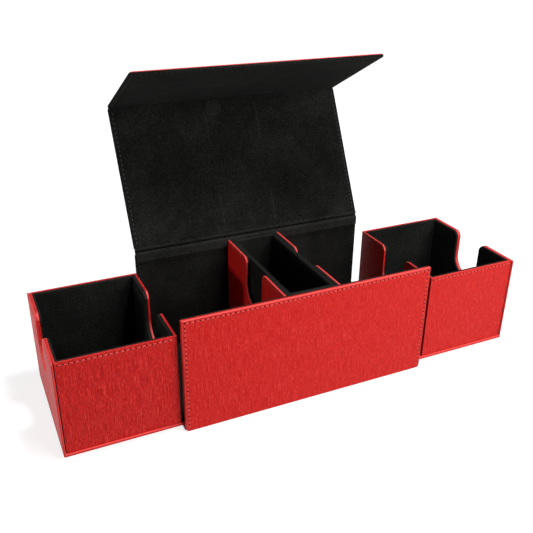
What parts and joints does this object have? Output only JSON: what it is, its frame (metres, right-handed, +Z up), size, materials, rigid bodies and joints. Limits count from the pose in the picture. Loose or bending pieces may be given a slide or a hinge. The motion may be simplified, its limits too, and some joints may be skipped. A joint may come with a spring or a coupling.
{
  "type": "deck box with drawers",
  "caption": "Leather-covered card deck box: lined lid with a front flap, notched drawers that draw out at both ends, and a lift-out dice tray between dividers.",
  "frame": {"origin": "centre of the case's underside, on the surface that it stands on", "axes": "+Z up, +X along the way the right drawer draws out, front of the case towards -Y"},
  "size_m": [0.4009, 0.1774, 0.2536],
  "materials": {
    "red_leather": "fine streaked grain, satin",
    "black_suede": "short matt nap",
    "grey_board": "solid grey board",
    "magnet": "plated disc"
  },
  "bodies": {
    "case": {"back_board": "grey_board", "back_cover": "red_leather", "back_lining": "black_suede", "base_board": "grey_board", "base_cover": "red_leather", "base_lining": "black_suede", "centre_floor": "black_suede", "front_board": "grey_board", "front_cover": "red_leather", "front_lining": "black_suede", "front_magnets": "magnet", "hinge_leather": "red_leather", "hinge_lining": "black_suede", "left_divider_board": "grey_board", "left_divider_cover": "red_leather", "left_divider_lining": "black_suede", "right_divider_board": "grey_board", "right_divider_cover": "red_leather", "right_divider_lining": "black_suede"},
    "lid": {"fold_leather": "red_leather", "fold_lining": "black_suede", "lid_board": "grey_board", "lid_cover": "red_leather", "lid_lining": "black_suede", "lid_magnet": "magnet"},
    "flap": {"flap_board": "grey_board", "flap_cover": "red_leather", "flap_lining": "black_suede", "flap_plates": "magnet"},
    "left_drawer": {"left_drawer_back_lining": "black_suede", "left_drawer_back_wall_board": "grey_board", "left_drawer_base_board": "grey_board", "left_drawer_end_board": "grey_board", "left_drawer_floor_lining": "black_suede", "left_drawer_front_lining": "black_suede", "left_drawer_front_wall_board": "grey_board", "left_drawer_inner_end_lining": "black_suede", "left_drawer_inner_wall_board": "grey_board", "left_drawer_outer_end_lining": "black_suede", "left_drawer_outer_wall_board": "grey_board", "left_drawer_shell_cover": "red_leather", "left_drawer_tray_cover": "red_leather"},
    "right_drawer": {"right_drawer_back_lining": "black_suede", "right_drawer_back_wall_board": "grey_board", "right_drawer_base_board": "grey_board", "right_drawer_end_board": "grey_board", "right_drawer_floor_lining": "black_suede", "right_drawer_front_lining": "black_suede", "right_drawer_front_wall_board": "grey_board", "right_drawer_inner_end_lining": "black_suede", "right_drawer_inner_wall_board": "grey_board", "right_drawer_outer_end_lining": "black_suede", "right_drawer_outer_wall_board": "grey_board", "right_drawer_shell_cover": "red_leather", "right_drawer_tray_cover": "red_leather"},
    "dice_tray": {"dice_tray_boards": "grey_board", "dice_tray_lining": "black_suede", "dice_tray_wrap": "black_suede"}
  },
  "joints": [
    {"name": "lid_hinge", "type": "hinge", "parent": "case", "child": "lid", "pos_m": [0, 0.059, 0.1004], "axis": [-1, 0, 0], "range_deg": [-117, 63], "deforming": ["hinge_leather", "hinge_lining"]},
    {"name": "flap_hinge", "type": "hinge", "parent": "lid", "child": "flap", "pos_m": [0, 0.11439, 0.2091], "axis": [-1, 0, 0], "range_deg": [0, 90], "deforming": ["fold_leather", "fold_lining"]},
    {"name": "left_drawer_slide", "type": "slide", "parent": "case", "child": "left_drawer", "axis": [-1, 0, 0], "range_m": [-0.0843, 0]},
    {"name": "right_drawer_slide", "type": "slide", "parent": "case", "child": "right_drawer", "axis": [1, 0, 0], "range_m": [-0.0896, 0]},
    {"name": "dice_tray_lift", "type": "slide", "parent": "case", "child": "dice_tray", "axis": [0, 0, 1], "range_m": [0, 0.1]}
  ]
}
